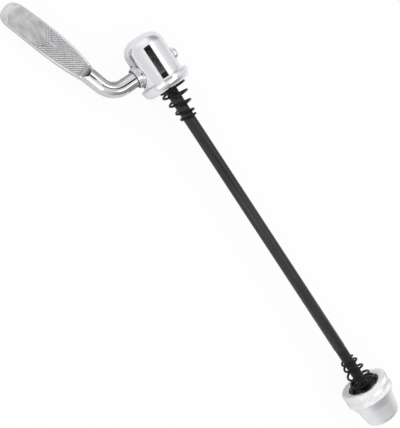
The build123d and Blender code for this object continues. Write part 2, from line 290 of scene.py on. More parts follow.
@dataclass(frozen=True)
class SoftPlate(Finish):
    """Chrome plate over a rough forging: soft, mottled and finely scratched."""

    dark: Colour = (0.43, 0.43, 0.44)
    light: Colour = (0.71, 0.705, 0.71)
    polish: Point = (0.42, 0.54)
    grain: float = 0.06
    grain_height: float = 0.0003
    mottle_count: float = 300.0
    mottle_rough: float = 0.6
    scratch_stretch: Colour = (200.0, 900.0, 900.0)
    scratch_share: float = 0.3

    def dress(self, sheet: NodeSheet) -> None:
        """Fill the tree with mottled plate, scratches and forging grain.

        Args:
            sheet: The tree to fill.
        """
        mottle = sheet.noise(even(self.mottle_count), rough=self.mottle_rough)
        scratches = sheet.noise(self.scratch_stretch, detail=2.0)
        both = sheet.mixed(mottle, scratches, self.scratch_share)
        sheet.surface(Base_Color=sheet.tinted(both, self.dark, self.light), Metallic=1.0)
        sheet.surface(Roughness=sheet.spread(both, *self.polish))
        sheet.bump(both, self.grain, self.grain_height)


@dataclass(frozen=True)
class HollowShadePlate(Finish):
    """Dull plate in the hollow of a run-out, with painted shade that is darkest at the run-out's apex."""

    apex: Colour
    heading: Colour
    dark: Colour = (0.015, 0.015, 0.016)
    light: Colour = (0.44, 0.44, 0.45)
    reach: Point = (-0.85, 3.7)
    polish: Point = (0.30, 0.40)
    mottle_count: float = 700.0
    mottle_share: float = 0.15

    def dress(self, sheet: NodeSheet) -> None:
        """Fill the tree with plate and painted shade that darkens towards the run-out's apex.

        Args:
            sheet: The tree to fill.
        """
        apex = [length * MM for length in self.apex]
        offset = sheet.add("VectorMath", "Vector", sheet.place, apex, mode="SUBTRACT")
        away = sheet.add("VectorMath", "Value", offset, self.heading, mode="DOT_PRODUCT")
        fade = sheet.add("MapRange", "Result", away, self.reach[0] * MM, self.reach[1] * MM)
        mottle = sheet.noise(even(self.mottle_count))
        shade = sheet.mixed(fade, mottle, self.mottle_share)
        sheet.surface(Base_Color=sheet.tinted(shade, self.dark, self.light), Metallic=1.0)
        sheet.surface(Roughness=sheet.spread(mottle, *self.polish))


@dataclass(frozen=True)
class SatinAlloy(Finish):
    """Satin aluminium with fine turning lines around the rod axis."""

    dark: Colour = (0.78, 0.78, 0.79)
    light: Colour = (0.88, 0.88, 0.89)
    polish: Point = (0.36, 0.48)
    line_stretch: Colour = (5200.0, 60.0, 60.0)
    line_share: float = 0.5
    line_bump: float = 0.12
    line_height: float = 0.0001
    mottle_count: float = 300.0

    def dress(self, sheet: NodeSheet) -> None:
        """Fill the tree with turning lines and a soft mottle.

        Args:
            sheet: The tree to fill.
        """
        lines = sheet.noise(self.line_stretch, detail=2.0)
        mottle = sheet.noise(even(self.mottle_count), detail=4.0)
        both = sheet.mixed(mottle, lines, self.line_share)
        sheet.surface(Base_Color=sheet.tinted(both, self.dark, self.light), Metallic=1.0)
        sheet.surface(Roughness=sheet.spread(both, *self.polish))
        sheet.bump(lines, self.line_bump, self.line_height)


@dataclass(frozen=True)
class BlackCoat(Finish):
    """Black coat on steel, drawn or turned, with slightly worn high spots."""

    dark: Colour
    light: Colour
    polish: Point = (0.26, 0.38)
    stretch: Colour = (30.0, 800.0, 800.0)
    shine: float = 0.36
    grain: float = 0.12
    grain_height: float = 0.0001
    grain_count: float = 2200.0
    grain_share: float = 0.4

    def dress(self, sheet: NodeSheet) -> None:
        """Fill the tree with the coat's streaks and its fine grain.

        Args:
            sheet: The tree to fill.
        """
        streaks = sheet.noise(self.stretch)
        grain = sheet.noise(even(self.grain_count), detail=2.0)
        both = sheet.mixed(streaks, grain, self.grain_share)
        sheet.surface(Base_Color=sheet.tinted(both, self.dark, self.light), Specular_IOR_Level=self.shine)
        sheet.surface(Roughness=sheet.spread(both, *self.polish))
        sheet.bump(both, self.grain, self.grain_height)


@dataclass(frozen=True)
class HiddenFinish(Finish):
    """The finish of a part that is out of sight: one pattern for its colour, polish and grain."""

    dark: Colour
    light: Colour
    polish: Point
    stretch: Colour
    grain: float
    metal: float = 0.0
    grain_height: float = 0.0001

    def dress(self, sheet: NodeSheet) -> None:
        """Fill the tree with tool lines or a mottle, as the stretch makes it.

        Args:
            sheet: The tree to fill.
        """
        lines = sheet.noise(self.stretch)
        sheet.surface(Base_Color=sheet.tinted(lines, self.dark, self.light), Metallic=self.metal)
        sheet.surface(Roughness=sheet.spread(lines, *self.polish))
        sheet.bump(lines, self.grain, self.grain_height)


BRIGHT_PLATE = BrightPlate("bright_plate")
ARM_PLATE = BrightPlate("arm_plate", (0.59, 0.59, 0.60), (0.66, 0.66, 0.67))
# Painted shade for the edges and the inner side of the lever's arm.
INNER_SHADE_PLATE = BrightPlate("inner_shade_plate", (0.33, 0.33, 0.34), (0.40, 0.40, 0.41), (0.10, 0.16))
SOFT_PLATE = SoftPlate("soft_plate")
RIM_PLATE = SoftPlate("rim_plate", (0.56, 0.56, 0.57), (0.68, 0.68, 0.69), (0.24, 0.32), 0.03)
# Painted highlight on the rib tops, and painted shade with dirt in the grooves between them.
RIB_HIGHLIGHT_PLATE = SoftPlate("rib_highlight_plate", (0.68, 0.68, 0.69), (0.78, 0.78, 0.79), (0.30, 0.38), 0.01)
GROOVE_DIRT_AND_SHADE_PLATE = SoftPlate("groove_dirt_and_shade_plate", (0.38, 0.38, 0.39), (0.50, 0.50, 0.51), (0.38, 0.46), 0.01)
# Painted shade for the gaps beside the lever's collar and the spot faces of the bell.
SEAM_SHADE_PLATE = SoftPlate("seam_shade_plate", (0.05, 0.05, 0.052), (0.12, 0.12, 0.122), (0.30, 0.40), 0.02)
SATIN_ALLOY = SatinAlloy("satin_alloy")
FACED_ALLOY = SatinAlloy("faced_alloy", polish=(0.16, 0.26))
ROD_BLACK = BlackCoat("rod_black", (0.004, 0.004, 0.005), (0.034, 0.034, 0.036))
SPRING_BLACK = BlackCoat("spring_black", even(0.002), even(0.006), (0.24, 0.36), even(900.0), 0.22)
INSERT_BLACK = BlackCoat(
    "insert_black", even(0.003), (0.009, 0.009, 0.010), (0.28, 0.42), (3000.0, 90.0, 90.0), 0.16
)
PLAIN_STEEL = HiddenFinish(
    "plain_steel", (0.46, 0.46, 0.47), (0.62, 0.62, 0.63), (0.25, 0.42), (4200.0, 80.0, 80.0), 0.15, 1.0
)
NYLON = HiddenFinish(
    "natural_nylon", (0.70, 0.70, 0.66), (0.82, 0.82, 0.78), (0.38, 0.52), even(500.0), 0.1
)


class Bench:
    """Mesh work that several pieces share, in millimetres."""

    @staticmethod
    def between(low: float, high: float, count: int) -> list[float]:
        """Give evenly spaced numbers after the first of two and up to the second."""
        return [low + (high - low) * i / count for i in range(1, count + 1)]

    @staticmethod
    def clamped(share: float) -> float:
        """Give a share kept between 0 and 1."""
        return min(max(share, 0.0), 1.0)

    @staticmethod
    def arc(centre: Point, radii: Point, start: float, end: float, count: int) -> list[Point]:
        """Give points on an arc of an ellipse.

        Args:
            centre: The ellipse's centre.
            radii: Its half axes.
            start: First angle in degrees.
            end: Last angle in degrees.
            count: Number of steps.

        Returns:
            The points from first to last.
        """
        turns = [radians(start + (end - start) * i / count) for i in range(count + 1)]
        return [(centre[0] + radii[0] * cos(t), centre[1] + radii[1] * sin(t)) for t in turns]

    @staticmethod
    def turned(outline: Sequence[Point], steps: int, closed: bool = False) -> bmesh.types.BMesh:
        """Turn an outline about the x axis.

        Args:
            outline: Points as distance along the axis and radius.
            steps: Number of steps round.
            closed: Whether the last point joins the first.

        Returns:
            The turned mesh.
        """
        bm = bmesh.new()
        verts = [bm.verts.new((x, r, 0.0)) for x, r in outline]
        pairs = list(zip(verts, verts[1:]))
        if closed:
            pairs.append((verts[-1], verts[0]))
        edges = [bm.edges.new(pair) for pair in pairs]
        bmesh.ops.spin(
            bm,
            geom=verts + edges,
            cent=(0.0, 0.0, 0.0),
            axis=(1.0, 0.0, 0.0),
            dvec=(0.0, 0.0, 0.0),
            angle=2 * pi,
            steps=steps,
            use_merge=True,
        )
        bmesh.ops.remove_doubles(bm, verts=bm.verts, dist=WELD)
        bmesh.ops.dissolve_degenerate(bm, edges=bm.edges, dist=SLIVER)
        bmesh.ops.recalc_face_normals(bm, faces=bm.faces)
        return bm

    @staticmethod
    def swept(rings: Sequence[Sequence[Vector]]) -> bmesh.types.BMesh:
        """Extrude a closed ring from section to section and close both ends.

        Args:
            rings: The sections, each with the same number of points.

        Returns:
            The closed mesh.
        """
        bm = bmesh.new()
        row = bmesh.ops.create_circle(bm, cap_ends=False, radius=1.0, segments=len(rings[0]))["verts"]
        for vert, point in zip(row, rings[0]):
            vert.co = point
        edges = list(bm.edges)
        for ring in rings[1:]:
            grown = bmesh.ops.extrude_edge_only(bm, edges=edges)["geom"]
            fresh = {item for item in grown if isinstance(item, bmesh.types.BMVert)}
            lines = [item for item in grown if isinstance(item, bmesh.types.BMEdge)]
            edges = [line for line in lines if fresh.issuperset(line.verts)]
            follow = {edge.other_vert(vert): vert for vert in fresh for edge in vert.link_edges}
            row = [follow[vert] for vert in row]
            for vert, point in zip(row, ring):
                vert.co = point
        bmesh.ops.holes_fill(bm, edges=bm.edges, sides=0)
        bmesh.ops.recalc_face_normals(bm, faces=bm.faces)
        return bm

    @staticmethod
    def shaded(bm: bmesh.types.BMesh, crease: float) -> None:
        """Smooth the shading except across sharp edges.

        Args:
            bm: The mesh.
            crease: The angle in degrees past which an edge is sharp.
        """
        for face in bm.faces:
            face.smooth = True
        for edge in bm.edges:
            edge.smooth = edge.calc_face_angle(0.0) < radians(crease)

    @staticmethod
    def placed(name: str, bm: bmesh.types.BMesh, *materials: bpy.types.Material) -> bpy.types.Object:
        """Put a mesh into the scene.

        Args:
            name: The object's name.
            bm: The mesh, freed here.
            materials: The object's materials.

        Returns:
            The object.
        """
        mesh = bpy.data.meshes.new(name)
        bm.to_mesh(mesh)
        bm.free()
        for material in materials:
            mesh.materials.append(material)
        made = bpy.data.objects.new(name, mesh)
        bpy.context.scene.collection.objects.link(made)
        return made


@dataclass
class Piece:
    """One finished piece of the skewer, with what it stands for and rides on."""

    name: str
    carrier: Carrier
    slot: Slot
    nodes: tuple[str, ...]
    finishes: tuple[Finish, ...]

    def publish(self, bm: bmesh.types.BMesh, place: Matrix = UNMOVED, crease: float = 32.0) -> None:
        """Args:
            bm: The mesh in millimetres, freed here.
            place: Where it goes, in millimetres.
            crease: The angle in degrees past which an edge shows.
        """
        Bench.shaded(bm, crease)
        bm.transform(Matrix.Scale(MM, 4) @ place)
        made = Bench.placed(self.name, bm, *(finish.material() for finish in self.finishes))
        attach(made, self.carrier.value)
        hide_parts(*self.nodes)
        log.info("%s: %d faces on %s", self.name, len(made.data.polygons), self.carrier.value)


@dataclass
class CamAxis:
    """The line that the lever turns about, with the lever's own directions."""

    depth: float = 10.3
    droop: float = 10.844

    def place(self) -> Matrix:
        """Give the lever's plane: x outwards, y along the cam axis, z out of the paddle's face.

        Returns:
            The plane's place, in millimetres.
        """
        tilt = radians(self.droop)
        out = Vector((-1.0, 0.0, 0.0))
        along = Vector((0.0, -cos(tilt), -sin(tilt)))
        face = Vector((0.0, -sin(tilt), cos(tilt)))
        matrix = Matrix((out, along, face)).transposed().to_4x4()
        matrix.translation = (-self.depth, 0.0, 0.0)
        return matrix

    def along(self) -> Matrix:
        """Give the place of a shape turned about x so that its x runs along the cam axis to the lever."""
        return self.place() @ Matrix.Rotation(pi / 2, 4, "Z")


@dataclass
class CamHousing:
    """The chromed bell with its flange, bore, spot faces and cross holes."""

    axis: CamAxis
    radius: float = 8.63
    height: float = 23.5
    dome_corner: float = 6.4
    dome_length: float = 5.4
    flange_radius: float = 10.5
    flange_thickness: float = 3.7
    flare: float = 1.6
    flare_length: float = 0.6
    lip: float = 0.3
    lip_radius: float = 10.23
    groove_depth: float = 0.35
    groove_width: float = 0.14
    flange_round: float = 3.54
    ring_outer: float = 8.2
    ring_inner: float = 6.95
    ring_height: float = 0.3
    bore: float = 5.3
    bore_end: float = 17.6
    drill_point: float = 1.77
    collar_spot: float = 6.998
    collar_spot_radius: float = 5.05
    lever_hole: float = 3.45
    cap_spot: float = 8.121
    cap_spot_radius: float = 2.92
    cap_hole: float = 2.25
    lip_round: float = 0.15
    lip_gap: float = 0.02
    lip_arc: Point = (110.0, 20.0)
    flare_arc: Point = (270.0, 352.0)
    rim_round: float = 0.16
    bore_chamfer: float = 0.25
    spot_skin: float = 0.01
    steps: int = 256
    spot_steps: int = 96
    dome_steps: int = 28
    round_steps: int = 20
    flare_steps: int = 10
    wall_steps: int = 6
    edge_steps: int = 4

    def outline(self) -> list[Point]:
        """Give the bell's outline from the crown's middle to the end of the bore.

        Returns:
            Points as distance along the rod axis and radius.
        """
        crown = self.radius - self.dome_corner
        shoulder = -self.height + self.dome_length
        joint = -self.flange_thickness
        flare_start = joint - self.lip - self.flare_length
        points: list[Point] = [(-self.height, 0.0), (-self.height, crown / 2)]
        dome = (self.dome_length, self.dome_corner)
        points += Bench.arc((shoulder, crown), dome, 180.0, 90.0, self.dome_steps)
        wall = Bench.between(shoulder, flare_start, self.wall_steps)[:-1]
        points += [(x, self.radius) for x in wall]
        hollow = (self.flare_length, self.flare)
        flare = (flare_start, self.radius + self.flare)
        points += Bench.arc(flare, hollow, *self.flare_arc, self.flare_steps)
        lip = (joint - self.lip - self.lip_gap, self.lip_radius - self.lip_round)
        points += Bench.arc(lip, (self.lip_round, self.lip_round), *self.lip_arc, self.edge_steps)
        points += [(joint - self.groove_width, self.lip_radius - self.groove_depth)]
        points += [(joint, self.lip_radius - self.groove_depth)]
        rim = (joint + self.rim_round, self.flange_radius - self.rim_round)
        points += Bench.arc(rim, (self.rim_round, self.rim_round), 180.0, 90.0, self.edge_steps)
        flange = (self.flange_round, self.flange_radius - self.ring_outer)
        points += Bench.arc((-self.flange_round, self.ring_outer), flange, 90.0, 0.0, self.round_steps)
        points += [(0.0, self.ring_inner), (-self.ring_height, self.ring_inner - self.ring_height)]
        points += [(-self.ring_height, self.bore + self.bore_chamfer)]
        points += [(-self.ring_height - self.bore_chamfer, self.bore)]
        points += [(-self.bore_end, self.bore), (-self.bore_end - self.drill_point, 0.0)]
        return points

    def cutter(self) -> bmesh.types.BMesh:
        """Build the stepped cutters for the two ends of the cam shaft.

        Returns:
            One mesh with both cutters, along the cam axis.
        """
        far = 2 * self.radius
        both = bmesh.new()
        ends = (
            (1, self.lever_hole, self.collar_spot, self.collar_spot_radius),
            (-1, self.cap_hole, self.cap_spot, self.cap_spot_radius),
        )
        for side, hole, spot, spot_radius in ends:
            steps = [(1.0, 0.0), (1.0, hole), (spot, hole)]
            steps += [(spot, spot_radius), (far, spot_radius), (far, 0.0)]
            end = Bench.turned([(side * along, radius) for along, radius in steps], self.spot_steps)
            spare = bpy.data.meshes.new("cutter_end")
            end.to_mesh(spare)
            end.free()
            both.from_mesh(spare)
            bpy.data.meshes.remove(spare)
        both.transform(self.axis.along())
        return both

    def drilled(self, blank: bmesh.types.BMesh) -> bmesh.types.BMesh:
        """Cut the spot faces and cross holes out of the turned bell.

        Args:
            blank: The turned bell, freed here.

        Returns:
            The cut bell.
        """
        body = Bench.placed("bell_blank", blank)
        cutter = Bench.placed("bell_cutter", self.cutter())
        cut = body.modifiers.new("cross_holes", "BOOLEAN")
        cut.operation = "DIFFERENCE"
        cut.solver = "EXACT"
        cut.object = cutter
        bpy.context.view_layer.update()
        whole = body.evaluated_get(bpy.context.evaluated_depsgraph_get())
        result = bpy.data.meshes.new_from_object(whole)
        bm = bmesh.new()
        bm.from_mesh(result)
        bpy.data.meshes.remove(result)
        for spent in (body, cutter):
            mesh = spent.data
            bpy.data.objects.remove(spent)
            bpy.data.meshes.remove(mesh)
        bmesh.ops.remove_doubles(bm, verts=bm.verts, dist=WELD)
        bmesh.ops.recalc_face_normals(bm, faces=bm.faces)
        return bm

    def build(self) -> None:
        """Turn, drill and dress the housing."""
        bm = self.drilled(Bench.turned(self.outline(), self.steps))
        to_axis = self.axis.place().inverted()
        # The spot faces around the collar and the cap take painted shade.
        for face in bm.faces:
            out, along, up = to_axis @ face.calc_center_median()
            spot = self.collar_spot_radius if along > 0 else self.cap_spot_radius
            face.material_index = int(hypot(out, up) < spot + self.spot_skin)
        finishes = (BRIGHT_PLATE, SEAM_SHADE_PLATE)
        piece = Piece("housing_bell", Carrier.HOUSING, Slot.CHROMED_STEEL, ("cam_housing",), finishes)
        piece.publish(bm)


@dataclass(frozen=True)
class RoundSection:
    """A round section of the lever's shaft and arm."""

    radius: float
    rise: float = 0.0

    def reach(self) -> float:
        """Give the half width of the part of the section that counts as its top."""
        return self.radius * cos(pi / 4)

    def top(self, across: float) -> float:
        """Give the top's height at a distance across."""
        return self.rise + sqrt(max(self.radius**2 - across**2, 0.0))

    def bottom(self, across: float) -> float:
        """Give the bottom's height at a distance across."""
        return self.rise - sqrt(max(self.radius**2 - across**2, 0.0))

    def side(self, height: float) -> float:
        """Give the half width at a height."""
        return sqrt(max(self.radius**2 - (height - self.rise) ** 2, 0.0))


@dataclass(frozen=True)
class GripRelief:
    """The diagonal ribs on the paddle, the double chevron that ends them and its stem."""

    height: float = 0.24
    rib_width: float = 0.44
    rib_pitch: float = 0.8
    rib_angle: float = 41.0
    start: float = 15.4
    apex: float = 32.0
    half_angle: float = 50.0
    line_width: float = 0.45
    line_gap: float = 0.55
    stem: float = 2.4
    border: float = 0.35
    soft: float = 0.3

    def ridge(self, off: float, width: float) -> float:
        """Give a ridge's share of its height at a distance off its middle.

        Args:
            off: Distance off the middle line.
            width: The ridge's width.

        Returns:
            A share from 0 to 1, with soft flanks.
        """
        share = Bench.clamped((width / 2 - abs(off)) / self.soft + 0.5)
        return share * share * (3 - 2 * share)

    def behind(self, along: float, across: float) -> float:
        """Give how far along a point would lie if the chevron were straight across."""
        return along - abs(across) / tan(radians(self.half_angle))

    def covers(self, along: float, across: float) -> bool:
        """Tell whether a point lies within the ribs and the chevron."""
        return self.behind(along, across) < self.apex + self.line_width + self.border

    def at(self, along: float, across: float, room: float) -> float:
        """Give the relief's height over the paddle's face.

        Args:
            along: Distance along the paddle.
            across: Distance across it.
            room: Distance from the pattern's edge, under zero outside.

        Returns:
            The height.
        """
        edge = Bench.clamped(room / self.soft)
        if edge == 0.0:
            return 0.0
        bands = self.line_width + self.line_gap
        back = self.behind(along, across)
        found = 0.0
        for row in range(2):
            off = back - self.apex + row * bands - self.line_width / 2
            found = max(found, self.ridge(off, self.line_width))
        stem_end = self.apex - bands
        if stem_end - self.stem < along < stem_end + self.line_width:
            found = max(found, self.ridge(across, self.line_width))
        if along > self.start and back < self.apex - bands - self.line_gap:
            turn = radians(self.rib_angle)
            middle = (self.start + self.apex) / 2
            off = across * cos(turn) - (along - middle) * sin(turn)
            off = (off / self.rib_pitch - round(off / self.rib_pitch)) * self.rib_pitch
            lead = min((along - self.start) / self.soft, 1.0)
            found = max(found, self.ridge(off, self.rib_width) * lead)
        return self.height * found * edge


@dataclass
class LeverForging:
    """The lever: cam shaft, collar, bent arm, neck with run-outs and the bowed, ribbed paddle."""

    axis: CamAxis
    relief: GripRelief
    stub_end: float = 10.37
    stub_radius: float = 1.5
    cap_journal_end: float = 8.171
    cap_journal: float = 2.2
    lobe_start: float = 4.097
    lobe_end: float = 5.35
    lobe_radius: float = 2.2
    throw: float = 1.1
    journal: float = 3.4
    collar_seat: float = 7.048
    collar_radius: float = 4.95
    collar_land: float = 1.25
    collar_taper: float = 1.75
    collar_face: float = 4.15
    arm_radius: float = 3.2
    arm_reach: float = 21.2
    bend_radius: float = 8.0
    inner_share: float = 0.68
    paddle_angle: float = 17.8
    neck_radius: float = 3.3
    neck_start: float = 12.0
    runout: float = 3.2
    runout_tail: float = 3.0
    runout_power: float = 1.5
    length: float = 52.78
    thickness: float = 2.8
    root: float = 9.8
    edge_depth: float = 0.85
    edge_power: float = 2.6
    bow_radius: float = 120.0
    bow_apex: float = 26.0
    bow_rise: float = 1.0
    tip_start: float = 47.0
    tip_power: float = 2.65
    tip_ramp: float = 0.46
    tip_drop: float = 1.05
    tip_round: float = 0.3
    rib_margin: float = 1.05
    # Knots of the paddle's outline: distance along it, half width and slope.
    width_knots: tuple[Colour, ...] = (
        (9.8, 2.6, 0.2831),
        (20.0, 4.6, 0.1205),
        (38.0, 5.2505, -0.0193),
        (52.45, 4.9, -0.0112),
    )
    tip_least: float = 1e-4
    tip_close: float = 0.8
    stub_chamfer: float = 0.2
    collar_ease: float = 0.18
    seat_arc: Point = (170.0, 90.0)
    land_arc: Point = (90.0, 25.0)
    taper_ease: float = 0.6
    taper_short: float = 0.15
    # Points past the collar's face, with the radius over that of the face and then over that of the arm.
    face_edge: tuple[Point, ...] = ((-0.05, -0.1), (0.0, -0.25))
    arm_root: tuple[Point, ...] = ((0.02, 0.2), (0.12, 0.05), (0.3, 0.0))
    # Where the painted shade starts and ends beside the collar's seat and beside its face.
    seat_shade: Point = (-0.1, 0.32)
    arm_shade: Point = (-0.03, 0.13)
    hollow_skin: float = 0.04
    runout_sink: float = 0.15
    neck_lead: float = 0.2
    rib_run: float = 5.2
    # Distances before the tip at which the sections get closer, and their spacing on each stretch.
    tip_marks: Point = (1.0, 0.25)
    paddle_steps: tuple[float, ...] = (0.45, 0.12, 0.085, 0.5, 0.12, 0.05, 0.012)
    crease: float = 40.0
    top_steps: int = 120
    side_steps: int = 16
    bottom_steps: int = 28
    bend_steps: int = 40
    arm_steps: int = 8
    taper_steps: int = 6
    edge_steps: int = 4

    def bow(self, along: float) -> float:
        """Give the height of the paddle's middle surface."""
        return self.bow_rise - self.bow_radius + sqrt(self.bow_radius**2 - (along - self.bow_apex) ** 2)

    def half_width(self, along: float) -> float:
        """Give the paddle's half width at a distance along it.

        Args:
            along: Distance along the paddle.

        Returns:
            The half width through the knots of distance, half width and slope, rounded in at the tip.
        """
        last = self.width_knots[0]
        width = last[1]
        for knot in self.width_knots[1:]:
            if along >= last[0]:
                span = knot[0] - last[0]
                t = min((along - last[0]) / span, 1.0)
                first = (1 + 2 * t) * (1 - t) ** 2 * last[1] + t * (1 - t) ** 2 * span * last[2]
                second = t * t * (3 - 2 * t) * knot[1] + t * t * (t - 1) * span * knot[2]
                width = first + second
            last = knot
        over = (along - self.tip_start) / (self.length - self.tip_start)
        if over > 0.0:
            width *= max(1 - over**self.tip_power, self.tip_least) ** (1 / self.tip_power)
        return width

    def flat_width(self, along: float) -> float:
        """Give the half width of the paddle's face inside its rounded edge."""
        width = self.half_width(along)
        return width - min(self.edge_depth, width / 2)

    def half_thickness(self, along: float, across: float) -> float:
        """Give half the paddle's thickness, rolled off and rounded at the tip.

        Args:
            along: Distance along the paddle.
            across: Distance across it.

        Returns:
            Half the thickness.
        """
        half = self.thickness / 2 - self.tip_drop * self.roll_off(along, across) ** 2
        close = max(along - self.length + self.tip_round, 0.0) / self.tip_round
        return half * sqrt(1 - self.tip_close * min(close, 1.0) ** 2)

    def roll_off(self, along: float, across: float) -> float:
        """Tell how far the tip has rolled off at a point of the paddle.

        Args:
            along: Distance along the paddle.
            across: Distance across it.

        Returns:
            A share, 0 on the flat face and 1 at the outline.
        """
        over = (along - self.tip_start) / (self.length - self.tip_start)
        if over <= 0.0:
            return 0.0
        aside = abs(across) / self.half_width(self.tip_start)
        near = (over**self.tip_power + min(over * 2, 1.0) * aside**self.tip_power) ** (1 / self.tip_power)
        return Bench.clamped((near - 1 + self.tip_ramp) / self.tip_ramp)

    def headings(self) -> tuple[float, float, float]:
        """Give the bend's measures.

        Returns:
            Its turn in degrees, its tangent length and where it starts on the cam axis.
        """
        turn = 90.0 - self.paddle_angle
        tangent = self.bend_radius * tan(radians(turn / 2))
        return turn, tangent, self.arm_reach - tangent

    def section_points(self, section: "RoundSection | BladeSection") -> list[Point]:
        """Give a section's points: along its top, down one side, back along its bottom and up.

        Args:
            section: The section.

        Returns:
            Points as distance across and height.
        """
        reach = section.reach()
        top = [-reach + 2 * reach * i / self.top_steps for i in range(self.top_steps + 1)]
        bottom = [reach - 2 * reach * i / self.bottom_steps for i in range(self.bottom_steps + 1)]
        points = [(q, section.top(q)) for q in top]
        high, low = section.top(reach), section.bottom(reach)
        shares = [(1 - cos(pi * i / self.side_steps)) / 2 for i in range(1, self.side_steps)]
        heights = [high + (low - high) * share for share in shares]
        points += [(max(section.side(h), reach), h) for h in heights]
        points += [(q, section.bottom(q)) for q in bottom]
        points += [(-max(section.side(h), reach), h) for h in reversed(heights)]
        return points

    def ring(self, centre: Point, heading: float, section: "RoundSection | BladeSection") -> list[Vector]:
        """Stand a section across the lever's path.

        Args:
            centre: The path's point in the lever's plane.
            heading: The path's direction in degrees from outwards.
            section: The section.

        Returns:
            The section's points in the lever's plane.
        """
        turn = radians(heading)
        across = (-sin(turn), cos(turn))
        points = self.section_points(section)
        return [Vector((centre[0] + across[0] * q, centre[1] + across[1] * q, h)) for q, h in points]

    def shaft_stations(self) -> list[tuple[float, RoundSection]]:
        """Give the stations along the cam axis, from the stub under the cap to the bend.

        Returns:
            Pairs of distance along the cam axis and section.
        """
        taper = self.collar_seat + self.collar_land
        face = taper + self.collar_taper
        lobe = RoundSection(self.lobe_radius, self.throw)
        ease = self.collar_ease
        plan = [
            (-self.stub_end, RoundSection(self.stub_radius - self.stub_chamfer)),
            (-self.stub_end + self.stub_chamfer, RoundSection(self.stub_radius)),
            (-self.cap_journal_end, RoundSection(self.stub_radius)),
            (-self.cap_journal_end, RoundSection(self.cap_journal)),
            (-self.lobe_start, RoundSection(self.cap_journal)),
            (-self.lobe_start, lobe),
            (self.lobe_end, lobe),
            (self.lobe_end, RoundSection(self.journal)),
            (self.collar_seat, RoundSection(self.journal)),
            (self.collar_seat, RoundSection(self.collar_radius - ease)),
        ]
        corners = (ease, ease)
        inside = self.collar_radius - ease
        rims = Bench.arc((self.collar_seat + ease, inside), corners, *self.seat_arc, self.edge_steps)
        rims += Bench.arc((taper - ease, inside), corners, *self.land_arc, self.edge_steps)
        slope = Bench.between(taper, face - self.taper_short, self.taper_steps)
        widest = self.collar_radius - ease * self.taper_ease
        shrink = Bench.between(widest, self.collar_face, self.taper_steps)
        rims += zip(slope, shrink)
        rims += [(face + past, self.collar_face + over) for past, over in self.face_edge]
        rims += [(face + past, self.arm_radius + over) for past, over in self.arm_root]
        start = self.headings()[2]
        rims += [(place, self.arm_radius) for place in Bench.between(rims[-1][0], start, self.arm_steps)]
        return plan + [(place, RoundSection(rim)) for place, rim in rims]

    def paddle_stations(self) -> list[float]:
        """Give the distances along the paddle at which it has a section.

        Returns:
            The distances, closer together over the ribs and at the tip.
        """
        tangent = self.headings()[1]
        near, nearer = self.tip_marks
        relief = self.relief
        marks = [tangent, self.neck_start - self.neck_lead, relief.start, relief.apex + self.rib_run]
        marks += [self.tip_start, self.length - near, self.length - nearer, self.length]
        places: list[float] = []
        for low, high, step in zip(marks, marks[1:], self.paddle_steps):
            places += Bench.between(low, high, max(round((high - low) / step), 1))
        return places

    def rings(self) -> list[list[Vector]]:
        """Give every section of the lever in order.

        Returns:
            The sections from the cap's stub to the paddle's tip.
        """
        rings = [self.ring((0.0, v), 90.0, section) for v, section in self.shaft_stations()]
        turn, _, start = self.headings()
        for swing in Bench.between(0.0, turn, self.bend_steps):
            centre = (
                self.bend_radius * (1 - cos(radians(swing))),
                start + self.bend_radius * sin(radians(swing)),
            )
            rings.append(self.ring(centre, 90.0 - swing, RoundSection(self.arm_radius)))
        angle = radians(self.paddle_angle)
        for along in self.paddle_stations():
            centre = (along * cos(angle), self.arm_reach + along * sin(angle))
            rings.append(self.ring(centre, self.paddle_angle, BladeSection(self, along)))
        return rings

    def build(self) -> None:
        """Sweep and dress the lever, bright on the arm and soft on the paddle, with painted shade and painted
        highlight on some of its slots.
        """
        bm = Bench.swept(self.rings())
        for face in bm.faces:
            face.material_index = self.plating(face.calc_center_median()).value
        angle = radians(self.paddle_angle)
        place = self.axis.place()
        ahead = Vector((cos(angle), sin(angle), 0.0))
        apex = ahead * self.neck_start + Vector((0.0, self.arm_reach, self.neck_radius))
        hollow = HollowShadePlate("hollow_shade_plate", tuple(place @ apex), tuple(place.to_3x3() @ ahead))
        finishes = (
            ARM_PLATE,
            SOFT_PLATE,
            RIM_PLATE,
            RIB_HIGHLIGHT_PLATE,
            GROOVE_DIRT_AND_SHADE_PLATE,
            hollow,
            SEAM_SHADE_PLATE,
            INNER_SHADE_PLATE,
        )
        piece = Piece("lever_forging", Carrier.LEVER, Slot.CHROMED_LEVER, ("lever",), finishes)
        piece.publish(bm, place, self.crease)

    def plating(self, point: Vector) -> Plating:
        """Tell which plating a point of the lever has.

        Args:
            point: The point in the lever's plane.

        Returns:
            The plating.
        """
        angle = radians(self.paddle_angle)
        along = point.x * cos(angle) + (point.y - self.arm_reach) * sin(angle)
        across = (point.y - self.arm_reach) * cos(angle) - point.x * sin(angle)
        if along < self.neck_start or point.y < self.arm_reach:
            return self.shaft_plating(point, along, across)
        if along < self.relief.start:
            # Faces in the run-out's hollow take painted shade, darkest at its apex.
            section = BladeSection(self, along)
            plane = section.runout(1 if point.z > 0 else -1)
            hollow = abs(point.z - plane) < self.hollow_skin and abs(across) < section.bar_radius()
            return Plating.HOLLOW_SHADE if hollow else Plating.ARM
        flat = self.flat_width(along)
        if abs(across) > flat or self.roll_off(along, across) > 0.0:
            return Plating.RIM
        room = self.half_width(along) - self.rib_margin - abs(across)
        if point.z < 0 or room < 0.0 or not self.relief.covers(along, across):
            return Plating.PADDLE
        # Rib tops take painted highlight; the grooves take painted shade with dirt.
        raised = self.relief.at(along, across, room) > self.relief.height / 2
        return Plating.RIBS_HIGHLIGHT if raised else Plating.GROOVES_DIRT_AND_SHADE

